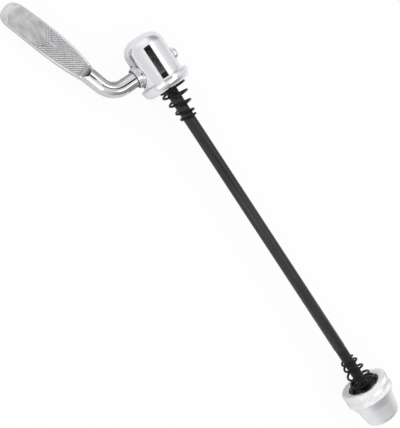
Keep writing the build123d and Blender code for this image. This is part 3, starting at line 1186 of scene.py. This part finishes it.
    def shaft_plating(self, point: Vector, along: float, across: float) -> Plating:
        """Tell which plating a point of the shaft, arm or neck has.

        Args:
            point: The point in the lever's plane.
            along: Its distance along the paddle.
            across: Its distance across the paddle.

        Returns:
            The plating: painted shade beside the collar, painted shade on the arm's edges and inner side, or
                the bright arm.
        """
        face = self.collar_seat + self.collar_land + self.collar_taper
        # Painted shade in the gaps beside the collar's seat and its face.
        for middle, (low, high) in ((self.collar_seat, self.seat_shade), (face, self.arm_shade)):
            if middle + low < point.y < middle + high:
                return Plating.SEAM_SHADE
        if point.y < face:
            return Plating.ARM
        tangent, start = self.headings()[1:]
        # Past this share of the radius, both edges of the straight arm and the inner side of the bend and
        # neck take painted shade.
        limit = self.inner_share * self.arm_radius
        if point.y < start:
            inner = abs(point.x) > limit
        elif along > tangent:
            inner = across < -limit
        else:
            inner = hypot(point.x - self.bend_radius, point.y - start) < self.bend_radius - limit
        return Plating.INNER_SHADE if inner else Plating.ARM


@dataclass(frozen=True)
class BladeSection:
    """The neck and the blade of the paddle at one distance along it."""

    lever: LeverForging
    along: float

    def bar_radius(self) -> float:
        """Give the neck's radius here, tapered from the arm.

        Returns:
            The radius.
        """
        lever = self.lever
        tangent = lever.headings()[1]
        share = Bench.clamped((self.along - tangent) / (lever.neck_start - lever.runout - tangent))
        return lever.arm_radius + (lever.neck_radius - lever.arm_radius) * share

    def runout(self, side: int) -> float:
        """Give the height of the run-out's plane over or under the neck's middle.

        Args:
            side: 1 for the top and -1 for the bottom.

        Returns:
            The plane's height, past the neck where there is no run-out.
        """
        lever = self.lever
        foot = lever.neck_start + lever.runout
        end = foot + lever.runout_tail
        half = lever.thickness / 2
        if self.along <= lever.neck_start:
            return side * 2 * lever.neck_radius
        low = lever.bow(foot) + side * half
        if self.along <= foot:
            left = (1 - (self.along - lever.neck_start) / lever.runout) ** lever.runout_power
            return low + (side * lever.neck_radius - low) * left
        share = (self.along - foot) / (2 * lever.runout_tail)
        return low + (lever.bow(end) + side * (half - lever.runout_sink) - low) * share

    def has_bar(self) -> bool:
        """Tell whether the neck reaches this far."""
        lever = self.lever
        return self.along < lever.neck_start + lever.runout + lever.runout_tail

    def has_blade(self) -> bool:
        """Tell whether the blade has begun."""
        return self.along > self.lever.root

    def reach(self) -> float:
        """Give the half width of the flat part of the section.

        Returns:
            The half width, growing from the neck's to the blade's along the run-out.
        """
        lever = self.lever
        foot = lever.neck_start + lever.runout
        flat = lever.flat_width(self.along)
        round_part = self.bar_radius() * cos(pi / 4)
        if self.along <= lever.neck_start:
            return round_part
        if self.along >= foot:
            return flat
        share = (self.along - lever.neck_start) / lever.runout
        return round_part + (flat - round_part) * share

    def face(self, across: float, side: int) -> float:
        """Give the top or bottom height at a distance across, without the ribs.

        Args:
            across: Distance across.
            side: 1 for the top and -1 for the bottom.

        Returns:
            The height.
        """
        lever = self.lever
        heights: list[float] = []
        radius = self.bar_radius()
        if self.has_bar() and abs(across) < radius:
            round_height = side * sqrt(radius**2 - across**2)
            heights.append(side * min(side * round_height, side * self.runout(side)))
        if self.has_blade() and abs(across) <= lever.half_width(self.along):
            heights.append(lever.bow(self.along) + side * lever.half_thickness(self.along, across))
        return side * max(side * height for height in heights)

    def top(self, across: float) -> float:
        """Give the top's height with the ribs.

        Args:
            across: Distance across.

        Returns:
            The height.
        """
        lever = self.lever
        room = lever.half_width(self.along) - lever.rib_margin - abs(across)
        return self.face(across, 1) + lever.relief.at(self.along, across, room)

    def bottom(self, across: float) -> float:
        """Give the bottom's height at a distance across."""
        return self.face(across, -1)

    def side(self, height: float) -> float:
        """Give the half width at a height.

        Args:
            height: The height.

        Returns:
            The wider of the neck and the blade there.
        """
        lever = self.lever
        widths = [0.0]
        radius = self.bar_radius()
        if self.has_bar() and self.runout(-1) < height < self.runout(1):
            widths.append(sqrt(max(radius**2 - height**2, 0.0)))
        if self.has_blade():
            flat = lever.flat_width(self.along)
            share = abs(height - lever.bow(self.along)) / lever.half_thickness(self.along, flat)
            if share < 1.0:
                power = lever.edge_power
                edge = lever.half_width(self.along) - flat
                widths.append(flat + edge * (1 - share**power) ** (1 / power))
        return max(widths)


@dataclass
class ShaftCap:
    """The small domed cap on the far end of the cam shaft."""

    axis: CamAxis
    seat: float = 8.591
    height: float = 2.38
    dome: float = 1.9
    radius: float = 2.6
    bore: float = 1.52
    roof: float = 0.58
    edge: float = 0.15
    steps: int = 96
    dome_steps: int = 24

    def build(self) -> None:
        """Turn and dress the cap."""
        top = -self.seat - self.height
        outline = Bench.arc((top + self.dome, 0.0), (self.dome, self.radius), 180.0, 90.0, self.dome_steps)
        outline += [(-self.seat - self.edge, self.radius), (-self.seat, self.radius - self.edge)]
        outline += [(-self.seat, self.bore), (top + self.roof, self.bore), (top + self.roof, 0.0)]
        piece = Piece("shaft_cap_dome", Carrier.LEVER, Slot.CHROMED_STEEL, ("shaft_cap",), (BRIGHT_PLATE,))
        piece.publish(Bench.turned(outline, self.steps), self.axis.along())


@dataclass
class SkewerRod:
    """The black rod with its rolled thread."""

    start: float = -7.5
    end: float = 164.0
    radius: float = 2.5
    thread_start: float = 130.5
    thread_radius: float = 2.42
    thread_depth: float = 0.42
    thread_pitch: float = 0.8
    thread_lead: float = 0.1
    crest_share: float = 0.18
    flank_share: float = 0.64
    chamfer: float = 0.5
    crease: float = 50.0
    steps: int = 48
    step_length: float = 0.1

    def outline(self) -> list[Point]:
        """Give the rod's outline with closely spaced points along the thread.

        Returns:
            Points as distance along the rod and radius.
        """
        points: list[Point] = [(self.start, 0.0), (self.start, self.radius - self.chamfer)]
        shank = (self.start + self.chamfer, self.thread_start - self.thread_lead)
        points += [(x, self.radius) for x in shank]
        last = self.end - self.chamfer
        count = round((last - self.thread_start) / self.step_length)
        thread = [self.thread_start] + Bench.between(self.thread_start, last, count)
        points += [(x, self.thread_radius) for x in thread]
        points += [(self.end, self.thread_radius - self.chamfer), (self.end, 0.0)]
        return points

    def roll(self, bm: bmesh.types.BMesh) -> None:
        """Press the thread's groove into the threaded stretch.

        Args:
            bm: The turned rod.
        """
        for vert in bm.verts:
            x, y, z = vert.co
            if not self.thread_start < x < self.end - self.chamfer / 2:
                continue
            phase = x / self.thread_pitch - atan2(z, y) / (2 * pi)
            wave = abs(2 * (phase - round(phase)))
            fade = min((x - self.thread_start) / (2 * self.thread_pitch), 1.0)
            groove = Bench.clamped((wave - self.crest_share) / self.flank_share) * self.thread_depth * fade
            scale = (self.thread_radius - groove) / hypot(y, z)
            vert.co = (x, y * scale, z * scale)

    def build(self) -> None:
        """Turn, thread and dress the rod."""
        bm = Bench.turned(self.outline(), self.steps)
        self.roll(bm)
        piece = Piece("rod_shank", Carrier.ROD, Slot.BLACK_ROD, ("skewer_rod",), (ROD_BLACK,))
        piece.publish(bm, crease=self.crease)


@dataclass
class ConeSpring:
    """A left-hand cone spring of round wire, made from its small end."""

    name: str
    node: str
    carrier: Carrier
    small_end: float
    towards: int
    lean: float
    foot_turns: float
    wire: float = 0.5
    end_radius: float = 3.05
    small_radius: float = 3.3
    large_radius: float = 5.85
    turns: float = 4.5
    end_turns: float = 1.0
    end_pitch: float = 1.7
    open_pitch: float = 3.95
    foot_pitch: float = 0.75
    offset: float = 0.1
    cut_turn: float = 0.004
    cut_share: float = 0.8
    tangent_reach: float = 0.002
    ease_turns: float = 0.25
    ease_samples: int = 9
    crease: float = 50.0
    steps_per_turn: int = 64
    sides: int = 14

    def height(self, turn: float) -> float:
        """Give the centre line's height.

        Args:
            turn: Number of turns from the small end.

        Returns:
            The height over the small end.
        """
        foot_start = self.turns - self.foot_turns
        end_part = min(turn, self.end_turns)
        open_part = min(max(turn - self.end_turns, 0.0), foot_start - self.end_turns)
        foot_part = max(turn - foot_start, 0.0)
        return end_part * self.end_pitch + open_part * self.open_pitch + foot_part * self.foot_pitch

    def smooth_height(self, turn: float) -> float:
        """Give the height with the changes of pitch eased.

        Args:
            turn: Number of turns from the small end.

        Returns:
            The height, averaged over a part of a turn.
        """
        count = self.ease_samples
        around = [turn + self.ease_turns * (i / (count - 1) - 0.5) for i in range(count)]
        return sum(self.height(min(max(t, 0.0), self.turns)) for t in around) / count

    def point(self, turn: float) -> Vector:
        """Give the centre line's point.

        Args:
            turn: Number of turns from the small end.

        Returns:
            The point with z along the spring.
        """
        end_share = min(turn / self.end_turns, 1.0)
        cone_share = max(turn - self.end_turns, 0.0) / (self.turns - self.end_turns)
        radius = self.end_radius + (self.small_radius - self.end_radius) * end_share
        radius += (self.large_radius - self.small_radius) * cone_share
        height = self.smooth_height(turn)
        shift = self.offset + (self.lean - self.offset) * height / self.height(self.turns)
        angle = 2 * pi * turn
        return Vector((radius * cos(angle) + shift, -radius * sin(angle), height))

    def rings(self) -> list[list[Vector]]:
        """Give the wire's sections with slightly rounded cut ends.

        Returns:
            The sections from the small end to the large end.
        """
        count = round(self.turns * self.steps_per_turn)
        middle = Bench.between(0.0, self.turns, count)[:-1]
        places = [0.0, self.cut_turn, *middle, self.turns - self.cut_turn, self.turns]
        sides = [2 * pi * i / self.sides for i in range(self.sides)]
        rings = []
        for place in places:
            before = max(place - self.tangent_reach, 0.0)
            after = min(place + self.tangent_reach, self.turns)
            tangent = (self.point(after) - self.point(before)).normalized()
            outwards = Vector((cos(2 * pi * place), -sin(2 * pi * place), 0.0))
            outwards = (outwards - tangent * outwards.dot(tangent)).normalized()
            beside = tangent.cross(outwards)
            size = self.wire * (self.cut_share if place in (0.0, self.turns) else 1.0)
            centre = self.point(place)
            rings.append([centre + (outwards * cos(t) + beside * sin(t)) * size for t in sides])
        return rings

    def place(self) -> Matrix:
        """Give the spring's place on the rod, small end first.

        Returns:
            The place, in millimetres.
        """
        along = Vector((float(self.towards), 0.0, 0.0))
        first = Vector((0.0, 1.0, 0.0))
        second = along.cross(first)
        matrix = Matrix((first, second, along)).transposed().to_4x4()
        matrix.translation = (self.small_end, 0.0, 0.0)
        return matrix

    def build(self) -> None:
        """Wind and dress the spring."""
        piece = Piece(self.name, self.carrier, Slot.BLACK_SPRING, (self.node,), (SPRING_BLACK,))
        piece.publish(Bench.swept(self.rings()), self.place(), self.crease)


@dataclass
class AdjustingNut:
    """The satin cone nut with its two knurled bands, and the black insert in its mouth."""

    face: float = 149.5
    rim_radius: float = 10.5
    rim_length: float = 6.3
    knurl_depth: float = 0.32
    teeth: int = 72
    steps_per_tooth: int = 6
    band: float = 2.4
    lead: float = 0.3
    ring_inner: float = 8.5
    ring_bevel: float = 0.3
    shoulder_length: float = 3.8
    shoulder_radius: float = 8.6
    end_radius: float = 7.3
    length: float = 18.2
    end_round: float = 2.3
    exit_radius: float = 2.9
    recess: float = 7.22
    recess_floor: float = 2.17
    barrel: float = 4.22
    barrel_end: float = 13.69
    insert_depth: float = 0.55
    insert_radius: float = 7.2
    insert_flange: float = 1.6
    insert_barrel: float = 4.2
    insert_length: float = 10.5
    insert_bore: float = 2.47
    tooth_slope: float = 0.12
    tooth_land: float = 0.1
    tooth_flank: float = 0.8
    tooth_skin: float = 0.01
    ring_step: float = 0.1
    bevel_share: float = 0.3
    faced_share: float = 0.2
    shoulder_ease: tuple[Point, ...] = ((-0.15, 0.07), (0.15, -0.02))
    exit_chamfer: float = 0.3
    insert_chamfer: float = 0.3
    insert_edge: float = 0.2
    insert_steps: int = 128
    end_steps: int = 14

    def outline(self) -> list[Point]:
        """Give the nut's closed outline.

        Returns:
            Points as distance along the rod and radius.
        """
        core = self.rim_radius - self.knurl_depth
        crest = self.rim_radius
        bevel = self.ring_bevel * self.bevel_share
        second = self.rim_length - self.band
        points: list[Point] = [(0.0, self.ring_inner + self.ring_step), (0.0, core - self.ring_bevel)]
        points += [(bevel, core - bevel)]
        for start in (self.lead, second):
            end = start + self.band
            points += [(start, core), (start + self.tooth_slope, crest)]
            points += [(end - self.tooth_slope, crest), (end, core)]
        shoulder = self.rim_length + self.shoulder_length
        points += [(shoulder + past, self.shoulder_radius + over) for past, over in self.shoulder_ease]
        fall = (self.end_radius - self.shoulder_radius) / (self.length - shoulder)
        centre = self.length - self.end_round
        line = self.shoulder_radius + fall * (centre - shoulder)
        middle = line - self.end_round * sqrt(1 + fall * fall)
        lean = degrees(atan2(1.0, -fall))
        points += Bench.arc((centre, middle), (self.end_round, self.end_round), lean, 0.0, self.end_steps)
        points += [(self.length, self.exit_radius + self.exit_chamfer)]
        points += [(self.length - self.exit_chamfer, self.exit_radius)]
        points += [(self.barrel_end, self.exit_radius), (self.barrel_end, self.barrel)]
        points += [(self.recess_floor, self.barrel), (self.recess_floor, self.recess)]
        points += [(self.insert_depth, self.recess)]
        return [(self.face + x, r) for x, r in points]

    def knurl(self, bm: bmesh.types.BMesh) -> None:
        """Press the teeth into the two bands of the rim.

        Args:
            bm: The turned nut.
        """
        for vert in bm.verts:
            x, y, z = vert.co
            radius = hypot(y, z)
            if radius < self.rim_radius - self.tooth_skin:
                continue
            phase = atan2(z, y) * self.teeth / (2 * pi)
            off = abs(2 * (phase - round(phase)))
            groove = self.knurl_depth * Bench.clamped((off - self.tooth_land) / self.tooth_flank)
            scale = (self.rim_radius - groove) / radius
            vert.co = (x, y * scale, z * scale)

    def build_body(self) -> None:
        """Turn, knurl and dress the nut's body, with its end face turned brighter than the rest."""
        bm = Bench.turned(self.outline(), self.teeth * self.steps_per_tooth, closed=True)
        self.knurl(bm)
        faced = self.face + self.ring_bevel * self.faced_share
        for face in bm.faces:
            face.material_index = int(face.calc_center_median().x < faced)
        finishes = (SATIN_ALLOY, FACED_ALLOY)
        piece = Piece("nut_cone", Carrier.NUT, Slot.SATIN_ALLOY, ("adjusting_nut",), finishes)
        piece.publish(bm)

    def build_insert(self) -> None:
        """Turn and dress the insert."""
        face = self.face + self.insert_depth
        outline = [
            (face + self.insert_chamfer, self.insert_bore),
            (face, self.insert_bore + self.insert_chamfer),
            (face, self.insert_radius - self.insert_edge),
            (face + self.insert_edge, self.insert_radius),
            (face + self.insert_flange, self.insert_radius),
            (face + self.insert_flange, self.insert_barrel),
            (face + self.insert_length, self.insert_barrel),
            (face + self.insert_length, self.insert_bore),
        ]
        bm = Bench.turned(outline, self.insert_steps, closed=True)
        piece = Piece("nut_mouth_insert", Carrier.NUT, Slot.BLACK_INSERT, ("nut_insert",), (INSERT_BLACK,))
        piece.publish(bm)

    def build(self) -> None:
        """Build the nut's two pieces."""
        self.build_body()
        self.build_insert()


@dataclass
class HiddenParts:
    """The parts inside the housing and the nut, kept from the frame and given their finishes."""

    finishes: tuple[tuple[str, Finish], ...] = (
        ("shaft_washer", PLAIN_STEEL),
        ("cam_follower", PLAIN_STEEL),
        ("lock_ring", NYLON),
    )

    def build(self) -> None:
        """Dress each kept part."""
        for node, finish in self.finishes:
            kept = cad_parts[node]
            kept.data.materials.clear()
            kept.data.materials.append(finish.material())
            log.info("%s: kept from the frame", node)


@dataclass(frozen=True)
class CardStock(Finish):
    """Card that the chrome shows at its own tone."""

    tone: float
    mottle: float = 0.06
    mottle_count: float = 12.0

    def dress(self, sheet: NodeSheet) -> None:
        """Fill the tree with a faint mottle that shows at the card's tone.

        Args:
            sheet: The tree to fill.
        """
        mottle = sheet.noise(even(self.mottle_count))
        dark = even((1 - self.mottle) * self.tone)
        light = even((1 + self.mottle) * self.tone)
        sheet.show(sheet.add("Emission", "Emission", Color=sheet.tinted(mottle, dark, light)))


@dataclass(frozen=True)
class StudioCard:
    """A thin card over or beside the skewer that only reflections show."""

    name: str
    low: Colour
    high: Colour
    stock: CardStock

    def hang(self) -> None:
        """Make the card between its corners, in millimetres."""
        low, high = Vector(self.low), Vector(self.high)
        bm = bmesh.new()
        bmesh.ops.create_cube(bm, size=1.0)
        bmesh.ops.scale(bm, vec=high - low, verts=bm.verts)
        bmesh.ops.translate(bm, vec=(high + low) / 2, verts=bm.verts)
        bmesh.ops.scale(bm, vec=even(MM), verts=bm.verts)
        card = Bench.placed(self.name, bm, self.stock.material())
        card.visible_camera = False
        card.visible_diffuse = False
        card.visible_shadow = False
        card.visible_transmission = False


@dataclass(frozen=True)
class Softbox:
    """A soft rectangular light."""

    name: str
    place: Colour
    aim: Colour
    size: Point
    radiance: float

    def hang(self) -> None:
        """Hang the light at its place, in millimetres, facing its aim."""
        light = bpy.data.lights.new(self.name, "AREA")
        light.shape = "RECTANGLE"
        light.size = self.size[0] * MM
        light.size_y = self.size[1] * MM
        light.energy = self.radiance * pi * light.size * light.size_y
        hung = bpy.data.objects.new(self.name, light)
        hung.location = Vector(self.place) * MM
        hung.rotation_euler = (Vector(self.aim) - Vector(self.place)).to_track_quat("-Z", "Y").to_euler()
        bpy.context.scene.collection.objects.link(hung)


BLACK_CARD = CardStock("black_card", 0.012)


@dataclass
class Studio:
    """The pale floor, the white tent, the soft lights, the cards and the camera."""

    floor_height: float = -10.5
    floor_size: float = 3.0
    floor_white: float = 0.93
    floor_sheen: float = 0.12
    floor_shades: Point = (0.88, 0.9)
    floor_mottle: float = 3.0
    floor_roughness: float = 0.9
    tent_fill: float = 0.88
    # The tent's tone at and under the horizon, then the height and tone of each change above it.
    tent_low: Colour = (0.83, 0.83, 0.85)
    tent_tones: tuple[tuple[float, Colour], ...] = ((0.55, (0.86, 0.86, 0.87)), (0.85, (1.0, 1.0, 1.0)))
    # Direction of each patch, the cosine at its edge and the tent's share of its brightness in the middle.
    patches: tuple[tuple[Colour, float, float], ...] = (
        ((0.94, 0.15, 0.3), 0.6, 0.42),
        ((-0.52, 0.83, 0.2), 0.78, 0.5),
        ((-0.95, 0.0, 0.3), 0.72, 1.3),
    )
    camera_place: Colour = (-29.97, -198.837, 374.642)
    camera_aim: Colour = (48.088, -19.658, 0.0)
    camera_roll: float = 77.4709
    lens: float = 88.9735
    sensor_height: float = 36.0
    clip: Point = (0.01, 20.0)
    cards: tuple[StudioCard, ...] = (
        StudioCard("card_overhead", (-329.0, -690.0, 1200.0), (78.0, 177.0, 1201.0), BLACK_CARD),
    )
    lights: tuple[Softbox, ...] = (
        Softbox("softbox_behind", (-5.0, 264.0, 640.0), (-10.0, 0.0, 0.0), (510.0, 205.0), 1.25),
        Softbox("softbox_past_nut", (400.0, 90.0, 600.0), (-10.0, -10.0, 0.0), (500.0, 240.0), 1.05),
        Softbox("softbox_in_front", (197.0, -556.0, 401.0), (-20.0, -24.0, 0.0), (240.0, 480.0), 1.3),
    )

    def floor(self) -> None:
        """Lay the pale floor: white to the camera, duller to metal, with the skewer's shadow."""
        bm = bmesh.new()
        bmesh.ops.create_grid(bm, x_segments=1, y_segments=1, size=self.floor_size)
        bmesh.ops.translate(bm, verts=bm.verts, vec=(0.0, 0.0, self.floor_height * MM))
        sheet = NodeSheet("studio_floor")
        dark, light = self.floor_shades
        shade = sheet.tinted(sheet.noise(even(self.floor_mottle)), even(dark), even(light))
        sheet.surface(Base_Color=shade, Roughness=self.floor_roughness)
        seen, mirrored = sheet.rays()
        share = sheet.larger(sheet.product(seen, self.floor_white), sheet.product(mirrored, self.floor_sheen))
        glow = sheet.add("Emission", "Emission", Strength=1.0)
        sheet.show(sheet.either(share, sheet.shader.outputs["BSDF"], glow))
        laid = Bench.placed("studio_floor", bm, sheet.material)

    @staticmethod
    def patch(nodes: Nodes, facing: Socket, towards: Colour, edge: float, level: float) -> Socket:
        """Make a soft round patch in the tent.

        Args:
            nodes: The world's nodes.
            facing: The direction looked in.
            towards: The direction of the patch's middle.
            edge: The cosine of the angle at which the patch starts.
            level: The tent's share of its brightness in the middle.

        Returns:
            The share of the tent's brightness.
        """
        middle = Vector(towards).normalized()
        beside = nodes.add("VectorMath", "Value", facing, middle, mode="DOT_PRODUCT")
        share = nodes.add("MapRange", "Result", beside, edge, 1.0, 1.0, level)
        share.node.interpolation_type = "SMOOTHSTEP"
        return share

    def world(self) -> None:
        """Make the white tent: a plain fill to matt surfaces, and to metal a tone that brightens upwards."""
        world = bpy.data.worlds.new("studio_world")
        world.use_nodes = True
        bpy.context.scene.world = world
        nodes = Nodes(world.node_tree)
        fill = nodes.tree.nodes["Background"]
        nodes.feed(fill, Color=WHITE, Strength=self.tent_fill)
        white = nodes.add("Background", "Background", Color=WHITE, Strength=1.0)
        facing = nodes.add("TexCoord", "Generated")
        tone = nodes.add("ValToRGB", "Color", nodes.add("SeparateXYZ", "Z", facing))
        stops = tone.node.color_ramp.elements
        stops[0].color = (*self.tent_low, 1.0)
        for height, shade in self.tent_tones:
            stops.new(height).color = (*shade, 1.0)
        strength: Feed = 1.0
        for patch in self.patches:
            strength = nodes.product(self.patch(nodes, facing, *patch), strength)
        tent = nodes.add("Background", "Background", Color=tone, Strength=strength)
        seen, mirrored = nodes.rays()
        lit = nodes.either(mirrored, fill.outputs["Background"], tent)
        nodes.feed(nodes.tree.nodes["World Output"], Surface=nodes.either(seen, lit, white))

    def camera(self) -> None:
        """Set the camera at the photograph's viewing angle."""
        data = bpy.data.cameras.new("studio_camera")
        data.sensor_fit = "VERTICAL"
        data.sensor_height = self.sensor_height
        data.lens = self.lens
        data.clip_start, data.clip_end = self.clip
        held = bpy.data.objects.new("studio_camera", data)
        place = Vector(self.camera_place)
        facing = (Vector(self.camera_aim) - place).to_track_quat("-Z", "Y").to_matrix()
        turned = facing @ Matrix.Rotation(radians(self.camera_roll), 3, "Z")
        held.matrix_world = Matrix.Translation(place * MM) @ turned.to_4x4()
        bpy.context.scene.collection.objects.link(held)
        bpy.context.scene.camera = held

    def build(self) -> None:
        """Set up floor, world, lights, cards and camera."""
        self.floor()
        self.world()
        for light in self.lights:
            light.hang()
        for card in self.cards:
            card.hang()
        self.camera()
        bpy.context.scene.view_settings.view_transform = "Standard"
        log.info("studio: floor, world, %d lights, %d cards and camera", len(self.lights), len(self.cards))


def main() -> None:
    """Build the skewer's pieces in order, dress them, and set up the studio."""
    logging.basicConfig(level=logging.INFO, format="%(name)s: %(message)s")
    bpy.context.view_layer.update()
    axis = CamAxis()
    CamHousing(axis).build()
    LeverForging(axis, GripRelief()).build()
    ShaftCap(axis).build()
    SkewerRod().build()
    ConeSpring(
        name="spring_by_housing",
        node="cam_side_spring",
        carrier=Carrier.CAM_SPRING,
        small_end=14.45,
        towards=-1,
        lean=1.0,
        foot_turns=0.5,
    ).build()
    ConeSpring(
        name="spring_by_nut",
        node="nut_side_spring",
        carrier=Carrier.NUT_SPRING,
        small_end=137.125,
        towards=1,
        lean=0.3,
        foot_turns=1.0,
    ).build()
    AdjustingNut().build()
    HiddenParts().build()
    Studio().build()


if __name__ == "__main__":
    main()
